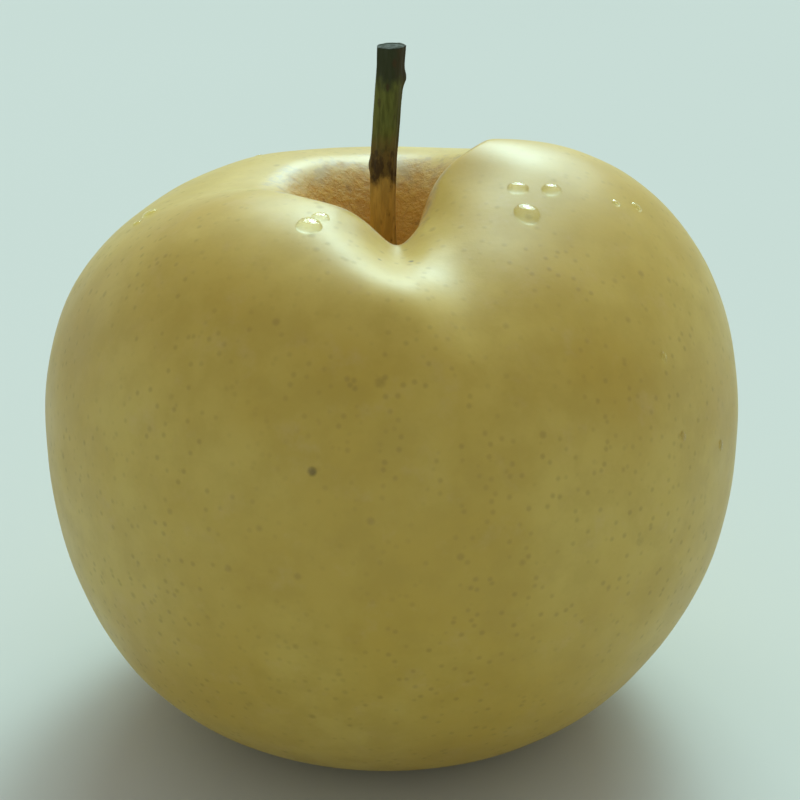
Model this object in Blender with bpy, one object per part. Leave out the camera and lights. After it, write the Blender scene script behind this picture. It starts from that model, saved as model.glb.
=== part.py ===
"""Asian pear: one round fruit with a deep stem cavity, and the woody stem that stands in it.

The fruit rests on a flat ring around its calyx basin, on z = 0, with its axis along Z.
Azimuths are in degrees round +Z from +X, so -90 is the front of the fruit.
"""

import math

import bmesh
import bpy

MM = 0.001

# Fruit
FRUIT_WIDTH = 88.0 * MM
WAIST_HEIGHT = 38.7 * MM
WAIST_SQUARENESS = 0.0015       # share of the radius that the four flats and corners swing
SHOULDER_HEIGHT = 71.5 * MM     # mean height of the ring where the skin turns into the cavity
FLANK_FULLNESS = 2.12           # 2 is an ellipse, and more is squarer
BELLY_FULLNESS = 2.08

# Shoulder ring: azimuth, radius, and rise above the mean shoulder height
SHOULDERS = (
    (-180.0, 17.0 * MM, -1.8 * MM),
    (-140.0, 19.0 * MM, 1.5 * MM),
    (-113.0, 18.2 * MM, 1.4 * MM),
    (-88.0, 17.8 * MM, 0.7 * MM),
    (-50.0, 9.6 * MM, 2.4 * MM),
    (0.0, 12.3 * MM, 4.2 * MM),
    (40.0, 15.5 * MM, -0.2 * MM),
    (80.0, 19.5 * MM, -3.1 * MM),
    (130.0, 17.5 * MM, -1.7 * MM),
)

# Crease that runs from the cavity down the front shoulder
CREASE_AZIMUTH = -87.0
CREASE_DEPTH = 5.2 * MM
CREASE_LEFT_ANGLE = 10.5        # half width of its flank towards -X, in degrees
CREASE_RIGHT_ANGLE = 23.0       # and of its flank towards +X
CREASE_LEFT_FADE = 0.41         # where on the way from shoulder to waist each flank has run out
CREASE_RIGHT_FADE = 1.0
CREASE_BLEND_ANGLE = 16.0       # the right flank has fully taken over this far from the middle
CREASE_SHARPNESS = 1.3
CREASE_SPREAD = 0.7             # how much wider it is at the waist than at the shoulder

# Stem cavity
CAVITY_DEPTH = 16.5 * MM
CAVITY_OFFSET = -0.8 * MM       # the floor lies this far along X from the fruit's axis
CAVITY_FLOOR_EASE = 1.4         # how gently the wall leaves the floor
CAVITY_RIM_EASE = 2.2           # how gently it reaches the shoulder

# Underside
REST_RADIUS = 14.0 * MM
REST_RING_WIDTH = 2.5 * MM
REST_OFFSET = -0.7 * MM         # the ring lies this far along X from the fruit's axis
CALYX_DEPTH = 4.0 * MM

# Stem
STEM_LENGTH = 32.0 * MM         # from the cavity floor to the cut top
STEM_FOOT_RADIUS = 1.9 * MM
STEM_NECK_RADIUS = 1.55 * MM
STEM_NECK_HEIGHT = 11.0 * MM    # above the cavity floor
STEM_TOP_RADIUS = 1.85 * MM
STEM_LEAN = 1.0 * MM            # how far along X the top stands off the foot
STEM_CUT_BEVEL = 0.25 * MM

# Seat of the stem in the fruit
SOCKET_DEPTH = 2.0 * MM
SOCKET_LIP = 0.5 * MM
SEAT_GAP = 0.3 * MM

# Mesh density
FRUIT_SEGMENTS = 72
WALL_STEPS = 11
FLANK_STEPS = 15
BELLY_STEPS = 14
CALYX_STEPS = 5
STEM_ROUNDNESS = 6              # bevel steps in a half turn
STEM_STEPS = 12
WELD_DISTANCE = 0.000001

# Worked out from the sizes above
CAVITY_FLOOR = SHOULDER_HEIGHT - CAVITY_DEPTH
SOCKET_RADIUS = STEM_FOOT_RADIUS + SEAT_GAP
SOCKET_FLOOR = CAVITY_FLOOR - SOCKET_DEPTH


def clear_scene():
    for item in list(bpy.data.objects):
        bpy.data.objects.remove(item, do_unlink=True)


def make_material(name, colour, roughness, metallic=0.0):
    """A plain Principled material in linear colour."""
    material = bpy.data.materials.new(name)
    material.use_nodes = True
    shader = material.node_tree.nodes["Principled BSDF"]
    shader.inputs["Base Color"].default_value = (*colour, 1.0)
    shader.inputs["Roughness"].default_value = roughness
    shader.inputs["Metallic"].default_value = metallic
    material.diffuse_color = (*colour, 1.0)
    return material


def add_object(name, bm, material):
    """Turn the bmesh into a named object with smooth shading and its material."""
    mesh = bpy.data.meshes.new(name)
    bm.to_mesh(mesh)
    bm.free()
    mesh.materials.append(material)
    mesh.shade_smooth()
    mesh.set_sharp_from_angle(angle=math.radians(40.0))
    part = bpy.data.objects.new(name, mesh)
    bpy.context.collection.objects.link(part)
    return part


def ease(x):
    """Smooth step from 0 to 1."""
    x = min(max(x, 0.0), 1.0)
    return x * x * (3.0 - 2.0 * x)


def turn_between(azimuth, other):
    """Signed angle from other to azimuth, within half a turn."""
    return (azimuth - other + 180.0) % 360.0 - 180.0


def shoulder_at(azimuth):
    """Radius and height of the shoulder ring, on a closed smooth curve through SHOULDERS."""
    count = len(SHOULDERS)
    first = SHOULDERS[0][0]
    turn = (azimuth - first) % 360.0
    index = max(row for row in range(count) if SHOULDERS[row][0] - first <= turn)
    before, start, end, after = (SHOULDERS[(index + step) % count] for step in (-1, 0, 1, 2))
    lead = (start[0] - before[0]) % 360.0
    span = (end[0] - start[0]) % 360.0
    tail = (after[0] - end[0]) % 360.0
    t = (turn - start[0] + first) / span
    values = []
    for column in (1, 2):
        slope_in = (end[column] - before[column]) * span / (lead + span)
        slope_out = (after[column] - start[column]) * span / (span + tail)
        values.append(
            (2 * t**3 - 3 * t**2 + 1) * start[column]
            + (t**3 - 2 * t**2 + t) * slope_in
            + (3 * t**2 - 2 * t**3) * end[column]
            + (t**3 - t**2) * slope_out
        )
    return values[0], SHOULDER_HEIGHT + values[1]


def crease_at(azimuth, t):
    """Depth of the front crease, from the shoulder (t = 0) to the waist (t = 1)."""
    turn = turn_between(azimuth, CREASE_AZIMUTH)
    side = ease(turn / CREASE_BLEND_ANGLE)
    half_angle = CREASE_LEFT_ANGLE + (CREASE_RIGHT_ANGLE - CREASE_LEFT_ANGLE) * side
    fade = CREASE_LEFT_FADE + (CREASE_RIGHT_FADE - CREASE_LEFT_FADE) * side
    reach = abs(turn) / (half_angle * (1.0 + CREASE_SPREAD * t))
    return CREASE_DEPTH * math.exp(-(reach**CREASE_SHARPNESS)) * (1.0 - ease(t / fade))


def waist_radius(azimuth):
    return 0.5 * FRUIT_WIDTH * (1.0 + WAIST_SQUARENESS * (math.cos(math.radians(4 * azimuth)) - 1.0))


def wall_point(azimuth, t):
    """Cavity wall, from the floor's edge (t = 0) to the shoulder (t = 1)."""
    radius, height = shoulder_at(azimuth)
    rise = 1.0 - (1.0 - t**CAVITY_FLOOR_EASE) ** CAVITY_RIM_EASE
    floor_edge = SOCKET_RADIUS + SOCKET_LIP
    z = CAVITY_FLOOR + (height - CAVITY_FLOOR - crease_at(azimuth, 0.0)) * rise
    return floor_edge + (radius - floor_edge) * t, z, CAVITY_OFFSET * (1.0 - rise)


def flank_point(azimuth, t):
    """Outer skin, from the shoulder (t = 0) to the waist (t = 1)."""
    radius, height = shoulder_at(azimuth)
    out = math.sin(0.5 * math.pi * t) ** (2.0 / FLANK_FULLNESS)
    up = math.cos(0.5 * math.pi * t) ** (2.0 / FLANK_FULLNESS)
    z = WAIST_HEIGHT + (height - WAIST_HEIGHT) * up - crease_at(azimuth, t)
    return radius + (waist_radius(azimuth) - radius) * out, z, 0.0


def belly_point(azimuth, t):
    """Outer skin, from the waist (t = 0) to the outer edge of the resting ring (t = 1)."""
    out = math.cos(0.5 * math.pi * t) ** (2.0 / BELLY_FULLNESS)
    down = math.sin(0.5 * math.pi * t) ** (2.0 / BELLY_FULLNESS)
    radius = REST_RADIUS + (waist_radius(azimuth) - REST_RADIUS) * out
    return radius, WAIST_HEIGHT * (1.0 - down), REST_OFFSET * math.sin(0.5 * math.pi * t) ** 2


def calyx_point(azimuth, t):
    """Calyx basin, from the inner edge of the resting ring (t = 0) to its middle (t = 1)."""
    return (REST_RADIUS - REST_RING_WIDTH) * (1.0 - t), CALYX_DEPTH * ease(t), REST_OFFSET


def socket_point(radius, z):
    """A point of the stem's socket, the same at every azimuth."""
    return lambda azimuth, t: (radius, z, CAVITY_OFFSET)


def fruit_stations():
    """The rings of the fruit from the middle of the socket to the middle of the calyx."""
    stations = [
        (socket_point(0.0, SOCKET_FLOOR), 0.0),
        (socket_point(SOCKET_RADIUS, SOCKET_FLOOR), 0.0),
        (socket_point(SOCKET_RADIUS, CAVITY_FLOOR), 0.0),
    ]
    stations += [(wall_point, step / WALL_STEPS) for step in range(WALL_STEPS)]
    stations += [(flank_point, step / FLANK_STEPS) for step in range(FLANK_STEPS)]
    stations += [(belly_point, step / BELLY_STEPS) for step in range(BELLY_STEPS + 1)]
    stations += [(calyx_point, step / CALYX_STEPS) for step in range(CALYX_STEPS + 1)]
    return stations


def make_fruit():
    """Spin a straight row of stations round the axis, then move each one to its own meridian."""
    bm = bmesh.new()
    label = bm.verts.layers.int.new("station")
    stations = fruit_stations()
    row = []
    for index in range(len(stations)):
        vertex = bm.verts.new((FRUIT_WIDTH, 0.0, -index * MM))
        vertex[label] = index
        row.append(vertex)
    edges = [bm.edges.new(pair) for pair in zip(row, row[1:])]
    bmesh.ops.spin(
        bm, geom=row + edges, axis=(0, 0, 1), cent=(0, 0, 0),
        angle=2.0 * math.pi, steps=FRUIT_SEGMENTS, use_merge=True,
    )
    for vertex in bm.verts:
        azimuth = math.degrees(math.atan2(vertex.co.y, vertex.co.x))
        place, t = stations[vertex[label]]
        radius, z, shift = place(azimuth, t)
        turn = math.radians(azimuth)
        vertex.co = (radius * math.cos(turn) + shift, radius * math.sin(turn), z)
    bmesh.ops.remove_doubles(bm, verts=bm.verts, dist=WELD_DISTANCE)
    bmesh.ops.recalc_face_normals(bm, faces=bm.faces)
    skin = make_material("pear_skin", (0.42, 0.38, 0.13), 0.42)
    return add_object("fruit", bm, skin)


def stem_radius(height):
    """Radius of the stem this far above the cavity floor."""
    if height < STEM_NECK_HEIGHT:
        blend = ease(max(height, 0.0) / STEM_NECK_HEIGHT)
        return STEM_FOOT_RADIUS + (STEM_NECK_RADIUS - STEM_FOOT_RADIUS) * blend
    blend = ((height - STEM_NECK_HEIGHT) / (STEM_LENGTH - STEM_NECK_HEIGHT)) ** 2
    return STEM_NECK_RADIUS + (STEM_TOP_RADIUS - STEM_NECK_RADIUS) * blend


def stem_lean(height):
    """How far along X the middle of the stem stands off its foot."""
    return STEM_LEAN * (max(height, 0.0) / STEM_LENGTH) ** 1.5


def make_stem():
    """A round bar along a gently leaning curve, from the bottom of the socket to the cut top."""
    curve = bpy.data.curves.new("stem", "CURVE")
    curve.dimensions = "3D"
    curve.bevel_depth = 1.0
    curve.bevel_resolution = STEM_ROUNDNESS
    curve.use_fill_caps = True
    full = STEM_LENGTH - STEM_CUT_BEVEL
    heights = [SEAT_GAP - SOCKET_DEPTH] + [full * step / STEM_STEPS for step in range(STEM_STEPS + 1)]
    radii = [stem_radius(height) for height in heights]
    heights.append(STEM_LENGTH)
    radii.append(STEM_TOP_RADIUS - STEM_CUT_BEVEL)
    spline = curve.splines.new("POLY")
    spline.points.add(len(heights) - 1)
    for point, height, radius in zip(spline.points, heights, radii):
        point.co = (CAVITY_OFFSET + stem_lean(height), 0.0, CAVITY_FLOOR + height, 1.0)
        point.radius = radius
    curve.materials.append(make_material("stem_wood", (0.045, 0.035, 0.018), 0.75))
    stem = bpy.data.objects.new("stem", curve)
    bpy.context.collection.objects.link(stem)
    return stem


if __name__ == "__main__":
    clear_scene()
    make_fruit()
    make_stem()
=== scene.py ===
"""Asian pear: the looks of the fruit and its stem, a few water drops, and a plain studio stage.

Run it as a script. Each piece has an operator in the View3D sidebar's Pear tab, and its sizes and
colours are in that tab's settings. Lengths are metres and azimuths are degrees round +Z from +X,
so -90 is the front of the fruit.
"""

import math

import bmesh
import bpy
import numpy as np
from bpy.props import FloatProperty, FloatVectorProperty, PointerProperty
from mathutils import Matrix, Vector, noise
from mathutils.bvhtree import BVHTree


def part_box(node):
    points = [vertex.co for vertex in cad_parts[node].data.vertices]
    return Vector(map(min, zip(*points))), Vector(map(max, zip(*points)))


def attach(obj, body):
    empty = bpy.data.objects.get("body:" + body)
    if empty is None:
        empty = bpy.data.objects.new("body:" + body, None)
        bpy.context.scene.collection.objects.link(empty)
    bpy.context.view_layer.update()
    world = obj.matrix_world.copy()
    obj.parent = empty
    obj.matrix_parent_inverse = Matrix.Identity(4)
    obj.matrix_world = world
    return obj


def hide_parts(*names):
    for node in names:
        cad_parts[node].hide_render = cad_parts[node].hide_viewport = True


bl_info = {
    "name": "Asian Pear",
    "version": (1, 0, 0),
    "blender": (4, 5, 0),
    "location": "View3D > Sidebar > Pear",
    "description": "Builds an Asian pear with a lenticelled skin, a woody stem and water drops",
    "category": "Add Mesh",
}

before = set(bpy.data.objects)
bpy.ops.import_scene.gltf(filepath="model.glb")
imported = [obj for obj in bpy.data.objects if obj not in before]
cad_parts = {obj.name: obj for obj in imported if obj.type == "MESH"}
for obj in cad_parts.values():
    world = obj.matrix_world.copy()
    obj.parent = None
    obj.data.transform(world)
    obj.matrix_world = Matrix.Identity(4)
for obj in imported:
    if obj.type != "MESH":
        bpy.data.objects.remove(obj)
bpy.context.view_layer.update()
FRUIT_LOW, FRUIT_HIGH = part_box("fruit")
STEM_LOW, STEM_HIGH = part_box("stem")

MM = 0.001

# Fruit, as the frame has it
WAIST_HEIGHT = 38.7 * MM
WAIST_SQUARENESS = 0.0015
SHOULDER_HEIGHT = 71.5 * MM
FLANK_FULLNESS = 2.12
BELLY_FULLNESS = 2.08
SHOULDERS = (
    (-180.0, 17.0 * MM, -1.8 * MM),
    (-140.0, 19.0 * MM, 1.5 * MM),
    (-113.0, 18.2 * MM, 1.4 * MM),
    (-88.0, 17.8 * MM, 0.7 * MM),
    (-50.0, 9.6 * MM, 2.4 * MM),
    (0.0, 12.3 * MM, 4.2 * MM),
    (40.0, 15.5 * MM, -0.2 * MM),
    (80.0, 19.5 * MM, -3.1 * MM),
    (130.0, 17.5 * MM, -1.7 * MM),
)
CREASE_AZIMUTH = -87.0
CREASE_DEPTH = 5.2 * MM
CREASE_LEFT_ANGLE = 10.5
CREASE_RIGHT_ANGLE = 23.0
CREASE_SHARPNESS = 1.3
CREASE_LEFT_FADE = 0.41
CREASE_RIGHT_FADE = 1.0
CREASE_BLEND_ANGLE = 16.0
CREASE_SPREAD = 0.7
CAVITY_OFFSET = -0.8 * MM
CAVITY_FLOOR_EASE = 1.4
CAVITY_RIM_EASE = 2.2
REST_RADIUS = 14.0 * MM
REST_RING_WIDTH = 2.5 * MM
REST_OFFSET = -0.7 * MM
CALYX_DEPTH = 4.0 * MM

# Stem, as the frame has it
STEM_FOOT_RADIUS = 1.9 * MM
STEM_NECK_RADIUS = 1.55 * MM
STEM_NECK_HEIGHT = 11.0 * MM
STEM_TOP_RADIUS = 1.85 * MM
STEM_LEAN = 1.0 * MM
SOCKET_DEPTH = 2.0 * MM
SEAT_GAP = 0.3 * MM

# Small shapes of the skin that only the looks have
FOOT_OVERLAP = 0.1 * SEAT_GAP
COLLAR_RISE = 0.55 * MM
COLLAR_WIDTH = 0.05
CAVITY_FOLD_HEIGHT = 0.20 * MM
CAVITY_FOLD_END = 0.55
CALYX_FOLD_HEIGHT = 0.22 * MM
SCAR_RIDGE_RADIUS = 3.4 * MM
SCAR_RIDGE_WIDTH = 0.8 * MM
SCAR_RIDGE_HEIGHT = 0.55 * MM
SCAR_PIT_RADIUS = 2.6 * MM
SCAR_PIT_DEPTH = 1.4 * MM
SWELL_SCALE = 42.0
SWELL_DETAIL_SCALE = 140.0
SWELL_DETAIL_SHARE = 0.22
SWELL_DETAIL_START = (7.0, 3.0, 5.0)
SWELL_LOW = 1.0 * MM
SWELL_RAMP = 9.0 * MM
SOFTEN_PASSES = 22
SOFTEN_REACH = 0.7

# Small shapes of the stem that only the looks have
STEM_SMOOTH_FOOT = 2.0 * MM
STEM_TAPER = 0.08
STEM_TAPER_START = 20.0 * MM
STEM_TAPER_LENGTH = 10.0 * MM
STEM_LEAN_POWER = 1.5
STEM_SHIFT = 0.25 * MM
STEM_BOW = 0.4 * MM
STEM_RIDGES = (7.0, 12.0)
STEM_WANDER_SCALE = 120.0
STEM_GRAIN_SCALE = 900.0
STEM_GRAIN_STRETCH = 0.4
STEM_GRAIN_DEPTH = 0.05 * MM
STEM_SCAR_HALF_HEIGHT = 0.9 * MM
CUT_WAVE = 0.10 * MM
CUT_DISH = 0.16 * MM
CUT_PIT = 0.2 * MM
CUT_SLOPE = 0.035
CUT_SLOPE_RINGS = 3

# Leaf scars on the stem: depth below the cut end, azimuth, half width in degrees, rise
STEM_SCARS = (
    (3.8 * MM, -4.0, 26.0, 0.34 * MM),
    (14.5 * MM, 170.0, 26.0, 0.26 * MM),
    (9.5 * MM, -70.0, 34.0, 0.12 * MM),
    (20.0 * MM, 60.0, 30.0, 0.14 * MM),
)

# Worked out from the frame
SOCKET_FLOOR = STEM_LOW.z - SEAT_GAP
CAVITY_FLOOR = SOCKET_FLOOR + SOCKET_DEPTH
STEM_LENGTH = STEM_HIGH.z - CAVITY_FLOOR

# Grids: the skin, the rings at the stem's foot that aren't swollen or softened, stem and drops
MERIDIANS = 320
SOCKET_RINGS = 2
WALL_RINGS = 54
FLANK_RINGS = 84
BELLY_RINGS = 76
CALYX_RINGS = 34
UNSWOLLEN_RINGS = 6
UNSOFTENED_RINGS = 8
STEM_AROUND = 72
STEM_ALONG = 190
STEM_CUT_RINGS = 7
DROP_ROWS = 9
DROP_AROUND = 28

# Cork of the calyx scar
SCAR_DARK = (0.10, 0.062, 0.03)
SCAR_PALE = (0.19, 0.13, 0.07)

# Marks on the skin: azimuth, way from shoulder to waist, radius, strength
MARKS = (
    (-101.2, 0.771, 0.70 * MM, 0.85),
    (-91.6, 0.571, 0.90 * MM, 0.30),
    (-84.4, 0.125, 0.45 * MM, 0.90),
    (-92.8, 0.146, 0.35 * MM, 0.60),
    (-50.8, 0.995, 0.80 * MM, 0.25),
)

# Water drops: azimuth, way from shoulder to waist, radius, stretch downhill
DROPS = (
    (-112.5, 0.125, 1.50 * MM, 1.05),
    (-111.5, 0.068, 1.10 * MM, 0.90),
    (-38.2, 0.158, 1.25 * MM, 0.85),
    (-30.9, 0.212, 1.25 * MM, 0.85),
    (-45.6, 0.225, 1.50 * MM, 1.20),
    (-19.7, 0.333, 0.60 * MM, 1.00),
    (-14.6, 0.375, 0.65 * MM, 1.20),
    (-38.8, 0.659, 0.55 * MM, 1.20),
    (-39.6, 0.829, 0.50 * MM, 1.20),
    (-27.2, 0.912, 0.50 * MM, 1.50),
    (-176.4, 0.290, 0.90 * MM, 1.20),
    (-173.0, 0.330, 0.60 * MM, 1.10),
    (62.0, 0.240, 0.90 * MM, 1.0),
    (74.0, 0.330, 0.65 * MM, 1.1),
    (128.0, 0.280, 1.00 * MM, 1.1),
    (101.0, 0.520, 0.60 * MM, 1.3),
)
DROP_WOBBLE = 0.10
DROP_WOBBLE_SCALE = 900.0
DROP_EDGE_SINK = 0.02 * MM
DROP_BASE_SINK = 0.1 * MM

# Stage: azimuth, elevation and width of each lamp in degrees, and shares of the sky by height
WINDOW = (80.0, 40.0, 38.0)
PANE = (77.0, 43.0, 16.0)
PANE_SHARE = 0.45
GLOW_MIDDLE = (80.0, 42.0)
GLOW_SPAN = (0.55, 0.97)
GLOW_LOW_EDGE = (0.20, 0.50)
HAZE_SPAN = (0.06, 0.45)
TINT_SPAN = (0.0, 0.30)
FLOOR_RADIUS = 8.0
CAMERA_TARGET = (1.0 * MM, 0.0, 41.4 * MM)


# ---------------------------------------------------------------------------------------------
# Shape of the fruit
# ---------------------------------------------------------------------------------------------


def ease(x):
    """Smooth step from 0 to 1."""
    x = np.clip(x, 0.0, 1.0)
    return x * x * (3.0 - 2.0 * x)


def turn_between(azimuth, other):
    """Signed angle from other to azimuth, within half a turn."""
    return (azimuth - other + 180.0) % 360.0 - 180.0


def shoulder_at(azimuth):
    """Radius and height of the shoulder ring, on a closed smooth curve through SHOULDERS."""
    rows = np.array(SHOULDERS)
    count = len(rows)
    turn = (azimuth - rows[0, 0]) % 360.0
    index = np.searchsorted(rows[:, 0] - rows[0, 0], turn, side="right") - 1
    before, start, end, after = (rows[(index + step) % count] for step in (-1, 0, 1, 2))
    lead = (start[..., 0] - before[..., 0]) % 360.0
    span = (end[..., 0] - start[..., 0]) % 360.0
    tail = (after[..., 0] - end[..., 0]) % 360.0
    t = (turn - start[..., 0] + rows[0, 0]) / span
    values = []
    for column in (1, 2):
        slope_in = (end[..., column] - before[..., column]) * span / (lead + span)
        slope_out = (after[..., column] - start[..., column]) * span / (span + tail)
        values.append(
            (2 * t**3 - 3 * t**2 + 1) * start[..., column]
            + (t**3 - 2 * t**2 + t) * slope_in
            + (3 * t**2 - 2 * t**3) * end[..., column]
            + (t**3 - t**2) * slope_out
        )
    return values[0], SHOULDER_HEIGHT + values[1]


def crease_at(azimuth, t):
    """Depth of the front crease, from the shoulder (t = 0) to the waist (t = 1)."""
    turn = turn_between(azimuth, CREASE_AZIMUTH)
    side = ease(turn / CREASE_BLEND_ANGLE)
    half_angle = CREASE_LEFT_ANGLE + (CREASE_RIGHT_ANGLE - CREASE_LEFT_ANGLE) * side
    fade = CREASE_LEFT_FADE + (CREASE_RIGHT_FADE - CREASE_LEFT_FADE) * side
    reach = np.abs(turn) / (half_angle * (1.0 + CREASE_SPREAD * t))
    return CREASE_DEPTH * np.exp(-(reach**CREASE_SHARPNESS)) * (1.0 - ease(t / fade))


def waist_radius(azimuth):
    """Radius of the fruit at its waist, a little less on the diagonals."""
    half = 0.5 * (FRUIT_HIGH.x - FRUIT_LOW.x)
    return half * (1.0 + WAIST_SQUARENESS * (np.cos(np.radians(4.0 * azimuth)) - 1.0))


def placed(azimuth, radius, z, shift):
    """Points at these azimuths, radii and heights, moved along X by shift."""
    turn = np.radians(azimuth)
    x, y = radius * np.cos(turn) + shift, radius * np.sin(turn)
    return np.stack(np.broadcast_arrays(x, y, z), -1)


def wall_points(azimuth, t):
    """Cavity wall, from the stem's foot (t = 0) to the shoulder (t = 1)."""
    radius, height = shoulder_at(azimuth)
    rise = 1.0 - (1.0 - t**CAVITY_FLOOR_EASE) ** CAVITY_RIM_EASE
    foot = STEM_FOOT_RADIUS + FOOT_OVERLAP
    z = CAVITY_FLOOR + (height - CAVITY_FLOOR - crease_at(azimuth, 0.0)) * rise
    collar = COLLAR_RISE * np.exp(-((t / COLLAR_WIDTH) ** 2))
    turn = np.radians(azimuth)
    ripple = np.cos(9.0 * turn + 0.8 * np.sin(2.0 * turn)) + 0.6 * np.cos(14.0 * turn + 1.0)
    share = np.clip(t / CAVITY_FOLD_END, 0.0, 1.0)
    folds = CAVITY_FOLD_HEIGHT * ripple * np.sin(np.pi * share) ** 2
    shift = CAVITY_OFFSET * (1.0 - rise)
    return placed(azimuth, foot + (radius - foot) * t, z + collar + folds, shift)


def flank_points(azimuth, t):
    """Outer skin, from the shoulder (t = 0) to the waist (t = 1)."""
    radius, height = shoulder_at(azimuth)
    out = np.sin(0.5 * np.pi * t) ** (2.0 / FLANK_FULLNESS)
    up = np.cos(0.5 * np.pi * t) ** (2.0 / FLANK_FULLNESS)
    z = WAIST_HEIGHT + (height - WAIST_HEIGHT) * up - crease_at(azimuth, t)
    return placed(azimuth, radius + (waist_radius(azimuth) - radius) * out, z, 0.0)


def belly_points(azimuth, t):
    """Outer skin, from the waist (t = 0) to the outer edge of the resting ring (t = 1)."""
    out = np.abs(np.cos(0.5 * np.pi * t)) ** (2.0 / BELLY_FULLNESS)
    down = np.sin(0.5 * np.pi * t) ** (2.0 / BELLY_FULLNESS)
    radius = REST_RADIUS + (waist_radius(azimuth) - REST_RADIUS) * out
    shift = REST_OFFSET * np.sin(0.5 * np.pi * t) ** 2
    return placed(azimuth, radius, WAIST_HEIGHT * (1.0 - down), shift)


def calyx_points(azimuth, t):
    """Calyx basin, from the inner edge of the resting ring to the scar in its middle."""
    radius = (REST_RADIUS - REST_RING_WIDTH) * (1.0 - t)
    wave = np.cos(np.radians(5.0 * azimuth + 20.0))
    folds = CALYX_FOLD_HEIGHT * wave * np.sin(np.pi * t) ** 2
    off_ridge = (radius - SCAR_RIDGE_RADIUS) / SCAR_RIDGE_WIDTH
    ridge = SCAR_RIDGE_HEIGHT * np.exp(-(off_ridge**2))
    pit = SCAR_PIT_DEPTH * ease(1.0 - radius / SCAR_PIT_RADIUS)
    return placed(azimuth, radius, CALYX_DEPTH * ease(t) + folds - ridge + pit, REST_OFFSET)


def zone(points, azimuth, shares):
    """Rings of one zone of the skin, one for each share of the way along it."""
    return points(azimuth[None, :], np.asarray(shares)[:, None])


def skin_rings(azimuth):
    """All rings of the skin from the bottom of the stem's socket to the calyx scar."""
    foot = STEM_FOOT_RADIUS + SEAT_GAP
    socket = np.stack([
        placed(azimuth, foot, SOCKET_FLOOR, CAVITY_OFFSET),
        placed(azimuth, foot, CAVITY_FLOOR - 0.4 * MM, CAVITY_OFFSET),
    ])
    shares = np.linspace(0.0, 1.0, WALL_RINGS, endpoint=False) ** 1.15
    wall = zone(wall_points, azimuth, shares)
    flank = zone(flank_points, azimuth, np.linspace(0.0, 1.0, FLANK_RINGS, endpoint=False))
    belly = zone(belly_points, azimuth, np.linspace(0.0, 1.0, BELLY_RINGS))
    calyx = zone(calyx_points, azimuth, np.linspace(0.0, 1.0, CALYX_RINGS, endpoint=False))
    return np.concatenate([socket, wall, flank, belly, calyx])


def ring_normals(rings):
    """Outward normals of a closed grid of rings that runs from the top inside to the bottom."""
    around = np.roll(rings, -1, axis=1) - np.roll(rings, 1, axis=1)
    along = np.gradient(rings, axis=0)
    normals = np.cross(around, along)
    normals /= np.linalg.norm(normals, axis=-1, keepdims=True) + 1e-12
    return -normals


def swell(rings, amount):
    """Slow unevenness of the skin: each point moves along its normal by seeded noise."""
    normals = ring_normals(rings)
    flat = rings.reshape(-1, 3)
    start = Vector(SWELL_DETAIL_START)
    slow = np.array([noise.noise(Vector(p) * SWELL_SCALE) for p in flat])
    fine = np.array([noise.noise(Vector(p) * SWELL_DETAIL_SCALE + start) for p in flat])
    clear_of_floor = ease((flat[:, 2] - SWELL_LOW) / SWELL_RAMP)
    push = amount * (slow + SWELL_DETAIL_SHARE * fine) * clear_of_floor
    push = push.reshape(rings.shape[:2])
    push[:UNSWOLLEN_RINGS] = 0.0
    return rings + normals * push[..., None]


def soften(rings, passes):
    """Round the crease and the lobes' edges: averages round the fruit, above the waist only."""
    first_flank = SOCKET_RINGS + WALL_RINGS
    below = (np.arange(len(rings)) - first_flank) / (SOFTEN_REACH * FLANK_RINGS)
    share = 1.0 - ease(below)
    share[:UNSOFTENED_RINGS] = 0.0
    share[first_flank + FLANK_RINGS:] = 0.0
    share = 0.5 * share[:, None, None]
    for _ in range(passes):
        beside = 0.5 * (np.roll(rings, 1, axis=1) + np.roll(rings, -1, axis=1))
        rings = rings + share * (beside - rings)
    return rings


# ---------------------------------------------------------------------------------------------
# Mesh helpers
# ---------------------------------------------------------------------------------------------


def ring_mesh(name, rings, start, end):
    """A closed mesh over the rings, with a point at each end."""
    count, around = rings.shape[:2]
    points = np.concatenate([rings.reshape(-1, 3), [start, end]])
    first, last = len(points) - 2, len(points) - 1
    faces = []
    for row in range(count - 1):
        base = row * around
        for step in range(around):
            after = (step + 1) % around
            faces.append((base + step, base + after, base + around + after, base + around + step))
    base = (count - 1) * around
    for step in range(around):
        after = (step + 1) % around
        faces.append((first, after, step))
        faces.append((last, base + step, base + after))
    mesh = bpy.data.meshes.new(name)
    mesh.from_pydata([tuple(p) for p in points], [], faces)
    mesh.shade_smooth()
    return mesh


def face_outwards(mesh):
    """Turn the faces of a closed mesh so that they point outwards."""
    bm = bmesh.new()
    bm.from_mesh(mesh)
    bmesh.ops.recalc_face_normals(bm, faces=bm.faces)
    bm.to_mesh(mesh)
    bm.free()


def add_point_values(mesh, name, values):
    """Store one number for each point, for the material to read by name."""
    layer = mesh.attributes.new(name, "FLOAT", "POINT")
    layer.data.foreach_set("value", np.asarray(values, np.float32))


def add_piece(name, mesh, material):
    """An object with this mesh and material, in the scene."""
    piece = bpy.data.objects.new(name, mesh)
    bpy.context.scene.collection.objects.link(piece)
    mesh.materials.append(material)
    return piece


# ---------------------------------------------------------------------------------------------
# Node helpers
# ---------------------------------------------------------------------------------------------


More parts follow.
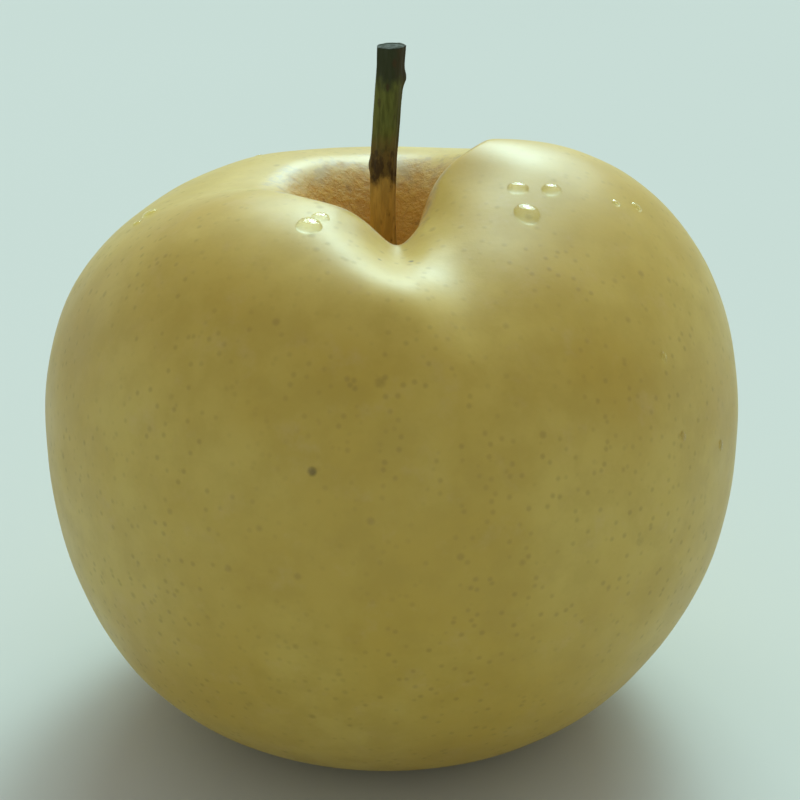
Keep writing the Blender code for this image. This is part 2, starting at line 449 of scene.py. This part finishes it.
class Nodes:
    """A node tree under construction: adds nodes in reading order and wires their sockets."""

    def __init__(self, tree):
        self.tree = tree
        self.column = 0

    def wire(self, value, socket):
        """Link a socket, or set a plain value."""
        if isinstance(value, bpy.types.NodeSocket):
            self.tree.links.new(value, socket)
        else:
            socket.default_value = value

    def add(self, kind, settings=None, **inputs):
        """A node of this kind with its settings, and its inputs by socket name."""
        node = self.tree.nodes.new(kind)
        node.location = (-260 * (1 + self.column % 12), -300 * (self.column // 12))
        self.column += 1
        for key, value in (settings or {}).items():
            setattr(node, key, value)
        for key, value in inputs.items():
            self.wire(value, node.inputs[key.replace("_", " ")])
        return node

    def span(self, value, low, high, out_low=0.0, out_high=1.0):
        """Map low..high to out_low..out_high with a smooth step, clamped."""
        node = self.add("ShaderNodeMapRange", {"interpolation_type": "SMOOTHSTEP"}, Value=value)
        numbers = {"From Min": low, "From Max": high, "To Min": out_low, "To Max": out_high}
        for name, number in numbers.items():
            self.wire(number, node.inputs[name])
        return node.outputs["Result"]

    def calc(self, operation, *values, kind="ShaderNodeMath"):
        """The number that a math node gives for these values, in the order of its sockets."""
        node = self.add(kind, {"operation": operation})
        for value, socket in zip(values, node.inputs):
            self.wire(value, socket)
        return node.outputs["Value"]

    def blend(self, share, first, second):
        """Mix two colours by a share. The node's sockets go by index, as their names repeat."""
        node = self.add("ShaderNodeMix", {"data_type": "RGBA"})
        self.wire(share, node.inputs[0])
        for colour, socket in ((first, node.inputs[6]), (second, node.inputs[7])):
            plain = not isinstance(colour, bpy.types.NodeSocket)
            self.wire((*colour, 1.0) if plain else colour, socket)
        return node.outputs[2]


class Recipe(Nodes):
    """A material under construction, with textures that sit in the object's own space."""

    def __init__(self, name):
        old = bpy.data.materials.get(name)
        if old:
            bpy.data.materials.remove(old)
        self.material = bpy.data.materials.new(name)
        self.material.use_nodes = True
        super().__init__(self.material.node_tree)
        self.shader = self.tree.nodes["Principled BSDF"]

    def place(self):
        """Where a point of the surface is, in metres."""
        return self.add("ShaderNodeTexCoord").outputs["Object"]

    def stretched(self, vector, scale):
        """The same vector with each axis scaled, so that a pattern runs long on one axis."""
        node = self.add("ShaderNodeMapping", Scale=scale)
        self.wire(vector, node.inputs["Vector"])
        return node.outputs["Vector"]

    def noise(self, vector, scale, detail=3.0, roughness=0.5):
        """Cloudy noise about 0.5."""
        node = self.add(
            "ShaderNodeTexNoise", Vector=vector, Scale=scale, Detail=detail, Roughness=roughness
        )
        return node.outputs["Fac"]

    def cells(self, vector, scale, feature="F1"):
        """Distance to the nearest of scattered points, or to the edge between two."""
        node = self.add("ShaderNodeTexVoronoi", {"feature": feature}, Vector=vector, Scale=scale)
        return node.outputs["Distance"]

    def attribute(self, name):
        """A number stored for each point of the mesh."""
        return self.add("ShaderNodeAttribute", {"attribute_name": name}).outputs["Fac"]

    def bump(self, height, strength, distance, normal=None):
        """Fine relief, on top of another relief where one is given."""
        node = self.add("ShaderNodeBump", Height=height, Strength=strength, Distance=distance)
        if normal is not None:
            self.wire(normal, node.inputs["Normal"])
        return node.outputs["Normal"]

    def near(self, vector, point, radius):
        """1 at the point, falling to 0 at the radius."""
        away = self.calc("DISTANCE", vector, tuple(point), kind="ShaderNodeVectorMath")
        return self.span(away, 0.35 * radius, radius, 1.0, 0.0)

    def finish(self, **inputs):
        """Set or link the shader's own sockets, and hand over the material."""
        for key, value in inputs.items():
            self.wire(value, self.shader.inputs[key.replace("_", " ")])
        return self.material


# ---------------------------------------------------------------------------------------------
# Settings
# ---------------------------------------------------------------------------------------------


def colour_setting(name, description, default):
    """A colour in the sidebar."""
    return FloatVectorProperty(
        name=name, description=description, default=default,
        size=3, min=0.0, max=1.0, subtype="COLOR",
    )


def darker(colour, share):
    """A plain colour at this share of its light."""
    return [share * c for c in colour]


class PearSkinSettings(bpy.types.PropertyGroup):
    """Shape and colours of the skin"""

    unevenness: FloatProperty(
        name="Unevenness", description="How far the skin swells in and out over a few centimetres",
        default=0.45 * MM, min=0.0, max=3.0 * MM, unit="LENGTH", precision=5,
    )
    pale: colour_setting("Pale skin", "Colour of the palest skin", (0.595, 0.433, 0.094))
    ripe: colour_setting("Ripe skin", "Colour of the yellower patches", (0.535, 0.360, 0.057))
    russet: colour_setting(
        "Russet", "Colour of the rough skin in the stem cavity", (0.56, 0.275, 0.026)
    )
    flush: colour_setting("Flush", "Colour of the skin where the russet begins", (0.60, 0.43, 0.18))
    scurf: colour_setting(
        "Scurf", "Colour of the dry grey specks along the cavity's rim", (0.36, 0.255, 0.13)
    )
    lenticel: colour_setting(
        "Lenticels", "Colour of the small breathing spots", (0.30, 0.20, 0.045)
    )
    lenticel_spacing: FloatProperty(
        name="Lenticel spacing", description="Mean distance between two small spots",
        default=1.5 * MM, min=0.5 * MM, max=10.0 * MM, unit="LENGTH", precision=5,
    )
    sheen: FloatProperty(
        name="Wax", description="Weight of the thin wax coat on the skin",
        default=0.08, min=0.0, max=1.0, subtype="FACTOR",
    )


class PearStemSettings(bpy.types.PropertyGroup):
    """Colours and ridges of the stem"""

    bark: colour_setting("Bark", "Colour of the bark near the fruit", (0.50, 0.33, 0.080))
    green_bark: colour_setting(
        "Green bark", "Colour of the younger bark above", (0.120, 0.132, 0.022)
    )
    # The fleck colour is also used for the painted shade on the stem's +X side.
    fleck: colour_setting("Flecks", "Colour of the dark flecks in the bark", (0.050, 0.029, 0.009))
    cut: colour_setting("Cut end", "Colour of the blackened cut end", (0.030, 0.036, 0.012))
    ridge: FloatProperty(
        name="Ridges", description="Depth of the lengthwise ridges in the bark",
        default=0.055 * MM, min=0.0, max=0.5 * MM, unit="LENGTH", precision=6,
    )


class PearWaterSettings(bpy.types.PropertyGroup):
    """Size of the water drops"""

    size: FloatProperty(
        name="Drop size", description="Factor on the radius of every drop",
        default=1.0, min=0.1, max=3.0, subtype="FACTOR",
    )
    height: FloatProperty(
        name="Drop height", description="Height of a drop as a share of its radius",
        default=0.42, min=0.1, max=1.0, subtype="FACTOR",
    )


class PearStageSettings(bpy.types.PropertyGroup):
    """Floor, light and camera"""

    floor: colour_setting("Floor", "Colour of the plain floor", (0.60, 0.62, 0.60))
    air: colour_setting("Air", "Colour of the light from all round", (0.97, 0.985, 0.92))
    air_strength: FloatProperty(
        name="Air strength", description="Strength of the light from all round",
        default=0.38, min=0.0, max=5.0,
    )
    horizon: colour_setting(
        "Horizon", "Colour of the air low down, like the far floor", (0.80, 1.0, 0.93)
    )
    horizon_strength: FloatProperty(
        name="Horizon strength", description="Strength of the pale light low round the horizon",
        default=0.723, min=0.0, max=5.0,
    )
    glow: FloatProperty(
        name="Glow", description="Strength of the pale air round the window",
        default=0.8, min=0.0, max=5.0,
    )
    window: colour_setting("Window", "Colour of the light from the window", (0.67, 1.0, 1.0))
    window_power: FloatProperty(
        name="Window strength", description="Strength of the wide light behind the fruit",
        default=1.9, min=0.0, max=20.0,
    )
    elevation: FloatProperty(
        name="Camera elevation", description="Angle of the camera above the horizon",
        default=math.radians(23.5), min=0.0, max=math.radians(90.0), subtype="ANGLE",
    )
    distance: FloatProperty(
        name="Camera distance", description="Distance from the camera to what it looks at",
        default=231.5 * MM, min=0.05, max=5.0, unit="LENGTH", precision=4,
    )
    field: FloatProperty(
        name="Field of view", description="Angle that the camera takes in from side to side",
        default=math.radians(25.0), min=math.radians(5.0), max=math.radians(90.0), subtype="ANGLE",
    )


# ---------------------------------------------------------------------------------------------
# Materials
# ---------------------------------------------------------------------------------------------


def skin_material(settings):
    """Waxy pale skin with lenticels, a russet cavity, a scar at the calyx and a few marks."""
    r = Recipe("pear_skin")
    where = r.place()
    cavity = r.attribute("cavity")
    scar = r.attribute("scar")

    patches = r.span(r.noise(where, 38.0, 3.0), 0.38, 0.64)
    colour = r.blend(patches, settings.pale, settings.ripe)
    mottle = r.span(r.noise(where, 210.0, 4.0, 0.6), 0.35, 0.68, 0.0, 0.45)
    colour = r.blend(mottle, colour, darker(settings.ripe, 0.86))

    small = r.cells(where, 1.0 / settings.lenticel_spacing)
    spot = r.span(small, 0.06, 0.32, 1.0, 0.0)
    chance = r.span(r.noise(where, 55.0, 2.0), 0.36, 0.60, 0.16, 0.50)
    spot = r.calc("MULTIPLY", spot, chance)
    large = r.cells(where, 0.30 / settings.lenticel_spacing)
    blot = r.span(large, 0.03, 0.13, 0.50, 0.0)
    dots = r.calc("MAXIMUM", spot, blot)
    colour = r.blend(r.calc("MULTIPLY", dots, 0.78), colour, settings.lenticel)

    wobble = r.noise(where, 900.0, 2.0)
    for azimuth, share, radius, strength in MARKS:
        point = flank_points(np.array(azimuth), np.array(share))
        mark = r.near(where, point, radius)
        mark = r.calc("MULTIPLY", mark, r.span(wobble, 0.25, 0.6, 0.4 * strength, strength))
        colour = r.blend(mark, colour, darker(settings.lenticel, 0.55))

    ragged = r.calc("ADD", cavity, r.calc("MULTIPLY", r.noise(where, 230.0, 5.0, 0.65), 0.50))
    flush = r.span(ragged, 0.26, 0.46)
    colour = r.blend(r.calc("MULTIPLY", flush, 0.55), colour, settings.flush)
    specks = r.span(r.noise(where, 420.0, 4.0, 0.65), 0.47, 0.60)
    scurf = r.calc("MULTIPLY", r.span(cavity, 0.005, 0.08), specks)
    colour = r.blend(r.calc("MULTIPLY", scurf, 0.50), colour, settings.scurf)
    rust = r.span(ragged, 0.36, 0.66)
    crumbs = r.span(r.noise(where, 900.0, 4.0, 0.7), 0.34, 0.66)
    pale_rust = [min(1.0, share * c) for share, c in zip((1.12, 1.28, 1.7), settings.russet)]
    russet = r.blend(r.calc("MULTIPLY", crumbs, 0.7), settings.russet, pale_rust)
    stains = r.span(r.noise(where, 330.0, 3.0, 0.6), 0.56, 0.70, 0.0, 0.75)
    russet = r.blend(stains, russet, darker(settings.russet, 0.36))
    net = r.cells(where, 620.0, "DISTANCE_TO_EDGE")
    russet = r.blend(r.span(net, 0.0, 0.12, 0.14, 0.0), russet, darker(settings.russet, 0.35))
    colour = r.blend(r.calc("MULTIPLY", rust, 0.94), colour, russet)

    flakes = r.span(r.noise(where, 1400.0, 3.0), 0.4, 0.6)
    cork = r.blend(flakes, SCAR_DARK, SCAR_PALE)
    ragged_scar = r.calc("ADD", scar, r.calc("MULTIPLY", r.noise(where, 420.0, 4.0), 0.4))
    scarred = r.span(ragged_scar, 0.62, 0.86)
    colour = r.blend(scarred, colour, cork)

    rough = r.calc("MAXIMUM", rust, scarred)
    gloss = r.span(r.noise(where, 120.0, 3.0), 0.3, 0.7, 0.40, 0.47)
    gloss = r.calc("ADD", gloss, r.calc("MULTIPLY", rough, 0.3))
    gloss = r.calc("ADD", gloss, r.calc("MULTIPLY", dots, 0.12))

    grain = r.noise(where, 1500.0, 3.0, 0.6)
    normal = r.bump(grain, 0.10, 0.12 * MM)
    normal = r.bump(dots, 0.35, 0.06 * MM, normal)
    crust = r.calc("MULTIPLY", r.calc("SUBTRACT", crumbs, r.calc("MULTIPLY", stains, 0.5)), rough)
    normal = r.bump(crust, 0.55, 0.22 * MM, normal)

    return r.finish(
        Base_Color=colour, Roughness=gloss, Normal=normal,
        Subsurface_Weight=0.22, Subsurface_Radius=(1.0, 0.72, 0.28), Subsurface_Scale=3.5 * MM,
        Coat_Weight=settings.sheen, Coat_Roughness=0.30, IOR=1.40,
    )


def bark_material(settings):
    """Bark that runs from tan at the foot through dark flecks and olive to the blackened end, with
    painted shade on the +X side.
    """
    r = Recipe("stem_bark")
    where = r.place()
    split = r.add("ShaderNodeSeparateXYZ", Vector=where)
    along = r.stretched(where, (1.0, 1.0, 0.16))
    streaks = r.noise(along, 1700.0, 4.0, 0.6)
    blotches = r.noise(r.stretched(where, (1.0, 1.0, 0.5)), 700.0, 4.0, 0.65)
    height = r.calc("ADD", split.outputs["Z"], r.calc("MULTIPLY", blotches, 5.0 * MM))
    top = STEM_HIGH.z + 2.5 * MM
    shade = darker(settings.bark, 0.62)
    tan = r.blend(r.span(streaks, 0.36, 0.64, 0.0, 0.6), settings.bark, shade)
    shade = darker(settings.green_bark, 0.5)
    olive = r.blend(r.span(streaks, 0.40, 0.64, 0.0, 0.7), settings.green_bark, shade)
    brown = r.blend(r.span(blotches, 0.42, 0.60), darker(settings.bark, 0.27), settings.fleck)
    colour = r.blend(r.span(height, top - 17.2 * MM, top - 15.4 * MM), tan, brown)
    colour = r.blend(r.span(height, top - 13.5 * MM, top - 9.5 * MM), colour, olive)
    colour = r.blend(r.span(height, top - 5.6 * MM, top - 3.4 * MM), colour, settings.cut)
    flecks = r.cells(r.stretched(where, (1.0, 1.0, 0.55)), 900.0)
    fleck = r.calc("MULTIPLY", r.span(flecks, 0.16, 0.36, 0.8, 0.0), r.span(blotches, 0.40, 0.55))
    colour = r.blend(fleck, colour, settings.fleck)
    # Painted shade: the stem's +X side darkens towards the fleck colour, with a blotchy edge.
    painted_shade_side = r.calc("ADD", split.outputs["X"], r.calc("MULTIPLY", blotches, 1.2 * MM))
    colour = r.blend(r.span(painted_shade_side, 0.6 * MM, 1.9 * MM, 0.0, 0.6), colour, settings.fleck)
    end = r.blend(streaks, darker(settings.cut, 0.4), settings.cut)
    colour = r.blend(r.attribute("cut"), colour, end)
    normal = r.bump(streaks, 0.6, 0.22 * MM)
    normal = r.bump(blotches, 0.5, 0.25 * MM, normal)
    gloss = r.span(streaks, 0.3, 0.7, 0.62, 0.86)
    return r.finish(
        Base_Color=colour, Roughness=gloss, Normal=normal, IOR=1.45, Specular_IOR_Level=0.35
    )


def water_material():
    """Clear water with a hardly uneven surface."""
    r = Recipe("water")
    ripple = r.noise(r.place(), 300.0, 1.0)
    normal = r.bump(ripple, 0.05, 0.05 * MM)
    return r.finish(
        Base_Color=(1.0, 1.0, 1.0, 1.0), Roughness=0.05, IOR=1.333,
        Transmission_Weight=1.0, Normal=normal,
    )


def floor_material(settings):
    """Matte, nearly even floor."""
    r = Recipe("stage_floor")
    cloud = r.span(r.noise(r.place(), 3.0, 2.0), 0.3, 0.7)
    colour = r.blend(cloud, settings.floor, darker(settings.floor, 0.985))
    return r.finish(Base_Color=colour, Roughness=1.0, Specular_IOR_Level=0.0)


# ---------------------------------------------------------------------------------------------
# Pieces
# ---------------------------------------------------------------------------------------------


def build_fruit(settings):
    """The whole fruit as one closed skin."""
    azimuth = np.arange(MERIDIANS) * 360.0 / MERIDIANS
    rings = swell(soften(skin_rings(azimuth), SOFTEN_PASSES), settings.unevenness)
    start = (CAVITY_OFFSET, 0.0, SOCKET_FLOOR)
    end = (REST_OFFSET, 0.0, CALYX_DEPTH + SCAR_PIT_DEPTH)
    mesh = ring_mesh("fruit_skin", rings, start, end)
    face_outwards(mesh)
    rows = np.arange(len(rings))
    cavity = 1.0 - np.clip((rows - SOCKET_RINGS) / WALL_RINGS, 0.0, 1.0)
    first_calyx = len(rings) - CALYX_RINGS
    scar = np.clip((rows - first_calyx) / CALYX_RINGS, 0.0, 1.0)
    add_point_values(mesh, "cavity", np.append(np.repeat(cavity, MERIDIANS), [1.0, 0.0]))
    add_point_values(mesh, "scar", np.append(np.repeat(scar, MERIDIANS), [0.0, 1.0]))
    fruit = add_piece("fruit_skin", mesh, skin_material(settings))
    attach(fruit, "root")
    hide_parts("fruit")
    return fruit


def stem_radius(height):
    """Radius of the plain stem this far above the cavity floor."""
    narrowing = (STEM_NECK_RADIUS - STEM_FOOT_RADIUS) * ease(height / STEM_NECK_HEIGHT)
    share = np.clip((height - STEM_NECK_HEIGHT) / (STEM_LENGTH - STEM_NECK_HEIGHT), 0.0, 1.0)
    return STEM_FOOT_RADIUS + narrowing + (STEM_TOP_RADIUS - STEM_NECK_RADIUS) * share**2


def build_stem(settings):
    """The stem: a ridged, slightly leaning bar with leaf scars and a rough cut end."""
    azimuth = np.arange(STEM_AROUND) * 360.0 / STEM_AROUND
    low = SEAT_GAP - SOCKET_DEPTH
    height = np.linspace(low, STEM_LENGTH, STEM_ALONG)
    turn = np.radians(azimuth)[None, :]
    rows = height[:, None]
    taper = 1.0 - STEM_TAPER * ease((rows - STEM_TAPER_START) / STEM_TAPER_LENGTH)
    radius = stem_radius(rows) * np.ones_like(turn) * taper
    climb = [Vector((0.0, 0.0, h * STEM_WANDER_SCALE)) for h in height]
    wander = np.array([noise.noise(p) for p in climb])[:, None]
    above = ease(rows / STEM_SMOOTH_FOOT)
    coarse, fine = STEM_RIDGES
    radius += settings.ridge * above * (
        np.cos(coarse * turn + 1.6 * wander) + 0.6 * np.cos(fine * turn - 2.2 * wander + 1.0)
    )
    for place, side, width, rise in STEM_SCARS:
        around_scar = turn_between(azimuth, side)[None, :] / width
        along_scar = (rows - (STEM_LENGTH - place)) / STEM_SCAR_HALF_HEIGHT
        radius += rise * np.exp(-(around_scar**2) - along_scar**2)
    share = np.clip(rows, 0.0, None) / STEM_LENGTH
    lean = STEM_LEAN * share**STEM_LEAN_POWER
    lean = lean - STEM_SHIFT - STEM_BOW * np.sin(np.pi * np.clip(share, 0.0, 1.0)) ** 2
    rings = placed(azimuth[None, :], radius, CAVITY_FLOOR + rows, 0.0)
    rings[..., 0] += CAVITY_OFFSET + lean
    flat = rings.reshape(-1, 3)
    flat = [Vector((x, y, z * STEM_GRAIN_STRETCH)) * STEM_GRAIN_SCALE for x, y, z in flat]
    rough = np.array([noise.noise(p) for p in flat]).reshape(rings.shape[:2])
    push = STEM_GRAIN_DEPTH * rough * above
    rings[..., 0] += push * np.cos(turn)
    rings[..., 1] += push * np.sin(turn)

    rim = rings[-1]
    middle = rim.mean(axis=0)
    cut = []
    for share in np.linspace(0.94, 0.12, STEM_CUT_RINGS):
        ring = middle + (rim - middle) * share
        ring[:, 2] += CUT_WAVE * np.sin(5.0 * share) - CUT_DISH * (1.0 - share)
        cut.append(ring)
    rings = np.concatenate([rings, np.stack(cut)])
    sloped = rings[STEM_ALONG - CUT_SLOPE_RINGS:]
    sloped[..., 2] += CUT_SLOPE * (sloped[..., 0] - middle[0])
    end = middle - np.array((0.0, 0.0, CUT_PIT))
    start = (CAVITY_OFFSET, 0.0, CAVITY_FLOOR + low)
    mesh = ring_mesh("stem_wood", rings, start, end)
    face_outwards(mesh)
    cut_share = np.where(np.arange(len(rings)) >= STEM_ALONG, 1.0, 0.0)
    add_point_values(mesh, "cut", np.append(np.repeat(cut_share, STEM_AROUND), [0.0, 1.0]))
    stem = add_piece("stem_wood", mesh, bark_material(settings))
    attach(stem, "root")
    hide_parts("stem")
    return stem


def skin_tree():
    """A search tree over the skin that is built."""
    fruit = bpy.data.objects.get("fruit_skin")
    if fruit is None:
        raise RuntimeError("Build the fruit before the water drops")
    bm = bmesh.new()
    bm.from_mesh(fruit.data)
    tree = BVHTree.FromBMesh(bm)
    bm.free()
    return tree


def drop_rings(tree, centre, normal, radius, stretch, height):
    """Rings of one drop that follows the skin: its dome from the edge to the top."""
    downhill = Vector((0.0, 0.0, -1.0))
    downhill = (downhill - normal * downhill.dot(normal)).normalized()
    across = normal.cross(downhill)
    rows = []
    for share in np.cos(np.linspace(0.0, 0.5 * np.pi, DROP_ROWS))[:-1]:
        rise = height * math.sqrt(max(0.0, 1.0 - share**2)) - DROP_EDGE_SINK
        ring = []
        for turn in np.linspace(0.0, 2.0 * np.pi, DROP_AROUND, endpoint=False):
            down, side = math.cos(turn), math.sin(turn)
            wobble = noise.noise(centre * DROP_WOBBLE_SCALE + Vector((down, side, 0.0)))
            reach = share * radius * (1.0 + DROP_WOBBLE * wobble)
            start = centre + downhill * (reach * stretch * down) + across * (reach * side)
            skin, skin_normal, _, _ = tree.find_nearest(start)
            ring.append(skin + skin_normal * rise)
        rows.append(ring)
    return np.array([[tuple(p) for p in ring] for ring in rows])


def build_drops(settings):
    """Water drops that lie on the skin, as one piece of separate closed lenses."""
    tree = skin_tree()
    bm = bmesh.new()
    for azimuth, share, radius, stretch in DROPS:
        radius = radius * settings.size
        start = Vector(flank_points(np.array(azimuth), np.array(share)))
        centre, normal, _, _ = tree.find_nearest(start)
        height = settings.height * radius
        rings = drop_rings(tree, centre, normal, radius, stretch, height)
        base, top = centre - normal * DROP_BASE_SINK, centre + normal * height
        drop = ring_mesh("drop", rings, base, top)
        bm.from_mesh(drop)
        bpy.data.meshes.remove(drop)
    bmesh.ops.recalc_face_normals(bm, faces=bm.faces)
    mesh = bpy.data.meshes.new("water_drops")
    bm.to_mesh(mesh)
    bm.free()
    mesh.shade_smooth()
    drops = add_piece("water_drops", mesh, water_material())
    drops.visible_shadow = False
    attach(drops, "root")
    return drops


def towards(azimuth, elevation):
    """Unit vector to this azimuth and elevation, in degrees."""
    turn, rise = math.radians(azimuth), math.radians(elevation)
    level = math.cos(rise)
    return Vector((level * math.cos(turn), level * math.sin(turn), math.sin(rise)))


def add_lamp(name, azimuth, elevation, width, strength, colour):
    """Soft light from one part of the sky: its middle and its width in degrees."""
    light = bpy.data.lights.new(name, "SUN")
    light.angle = math.radians(width)
    light.energy = strength
    light.color = colour
    lamp = bpy.data.objects.new(name, light)
    source = towards(azimuth, elevation)
    lamp.location = source
    lamp.rotation_euler = source.to_track_quat("Z", "Y").to_euler()
    bpy.context.scene.collection.objects.link(lamp)


def stage_air(settings):
    """The sky: an even air, paler low down, with a glow round the window."""
    world = bpy.data.worlds.new("stage_air")
    world.use_nodes = True
    sky = Nodes(world.node_tree)
    direction = sky.add("ShaderNodeTexCoord").outputs["Generated"]
    height = sky.add("ShaderNodeSeparateXYZ", Vector=direction).outputs["Z"]
    haze = sky.span(height, *HAZE_SPAN, settings.horizon_strength, settings.air_strength)
    window = tuple(towards(*GLOW_MIDDLE))
    facing = sky.calc("DOT_PRODUCT", direction, window, kind="ShaderNodeVectorMath")
    glow = sky.span(facing, *GLOW_SPAN, 0.0, settings.glow)
    strength = sky.calc("MULTIPLY_ADD", glow, sky.span(height, *GLOW_LOW_EDGE), haze)
    tint = sky.blend(sky.span(height, *TINT_SPAN), settings.horizon, settings.air)
    air = sky.tree.nodes["Background"]
    sky.wire(tint, air.inputs["Color"])
    sky.wire(strength, air.inputs["Strength"])
    return world


def build_stage(settings):
    """A wide pale floor, light from all round, a broad light behind, and the camera."""
    scene = bpy.context.scene
    bm = bmesh.new()
    bmesh.ops.create_circle(bm, cap_ends=True, segments=96, radius=FLOOR_RADIUS)
    mesh = bpy.data.meshes.new("stage_floor")
    bm.to_mesh(mesh)
    bm.free()
    floor = add_piece("stage_floor", mesh, floor_material(settings))

    scene.world = stage_air(settings)

    power = settings.window_power
    add_lamp("stage_window", *WINDOW, power, settings.window)
    add_lamp("stage_pane", *PANE, PANE_SHARE * power, settings.window)

    camera = bpy.data.cameras.new("stage_camera")
    camera.angle = settings.field
    camera.clip_start = 0.01
    camera.clip_end = 50.0
    eye = bpy.data.objects.new("stage_camera", camera)
    back = Vector((0.0, -math.cos(settings.elevation), math.sin(settings.elevation)))
    eye.location = Vector(CAMERA_TARGET) + back * settings.distance
    eye.rotation_euler = (-back).to_track_quat("-Z", "Y").to_euler()
    scene.collection.objects.link(eye)
    scene.camera = eye
    return floor


# ---------------------------------------------------------------------------------------------
# Operators and panel
# ---------------------------------------------------------------------------------------------


class PEAR_OT_build_fruit(bpy.types.Operator):
    """Build the fruit with its skin, stem cavity and calyx scar"""

    bl_idname = "pear.build_fruit"
    bl_label = "Build Fruit"

    def execute(self, context):
        build_fruit(context.scene.pear_skin)
        return {"FINISHED"}


class PEAR_OT_build_stem(bpy.types.Operator):
    """Build the woody stem in its cavity"""

    bl_idname = "pear.build_stem"
    bl_label = "Build Stem"

    def execute(self, context):
        build_stem(context.scene.pear_stem)
        return {"FINISHED"}


class PEAR_OT_build_drops(bpy.types.Operator):
    """Lay the water drops on the skin"""

    bl_idname = "pear.build_drops"
    bl_label = "Build Water Drops"

    def execute(self, context):
        build_drops(context.scene.pear_water)
        return {"FINISHED"}


class PEAR_OT_build_stage(bpy.types.Operator):
    """Set up the floor, the light and the camera"""

    bl_idname = "pear.build_stage"
    bl_label = "Build Stage"

    def execute(self, context):
        build_stage(context.scene.pear_stage)
        return {"FINISHED"}


class PEAR_PT_sidebar(bpy.types.Panel):
    """Lists the pear's pieces with their settings"""

    bl_idname = "PEAR_PT_sidebar"
    bl_label = "Pear"
    bl_space_type = "VIEW_3D"
    bl_region_type = "UI"
    bl_category = "Pear"

    def draw(self, context):
        for group, operator in GROUPS:
            box = self.layout.box()
            settings = getattr(context.scene, group)
            for name in settings.bl_rna.properties.keys():
                if name not in {"rna_type", "name"}:
                    box.prop(settings, name)
            box.operator(operator)


GROUPS = (
    ("pear_skin", "pear.build_fruit"),
    ("pear_stem", "pear.build_stem"),
    ("pear_water", "pear.build_drops"),
    ("pear_stage", "pear.build_stage"),
)

CLASSES = (
    PearSkinSettings,
    PearStemSettings,
    PearWaterSettings,
    PearStageSettings,
    PEAR_OT_build_fruit,
    PEAR_OT_build_stem,
    PEAR_OT_build_drops,
    PEAR_OT_build_stage,
    PEAR_PT_sidebar,
)


def register():
    """Add the operators, the panel and the settings to Blender."""
    for item in CLASSES:
        bpy.utils.register_class(item)
    bpy.types.Scene.pear_skin = PointerProperty(type=PearSkinSettings)
    bpy.types.Scene.pear_stem = PointerProperty(type=PearStemSettings)
    bpy.types.Scene.pear_water = PointerProperty(type=PearWaterSettings)
    bpy.types.Scene.pear_stage = PointerProperty(type=PearStageSettings)


def unregister():
    """Take them out again."""
    for group, _ in GROUPS:
        delattr(bpy.types.Scene, group)
    for item in reversed(CLASSES):
        bpy.utils.unregister_class(item)


def main():
    """Build everything through the operators."""
    register()
    bpy.ops.pear.build_fruit()
    bpy.ops.pear.build_stem()
    bpy.ops.pear.build_drops()
    bpy.ops.pear.build_stage()
    bpy.context.scene.view_settings.view_transform = "Standard"


if __name__ == "__main__":
    main()
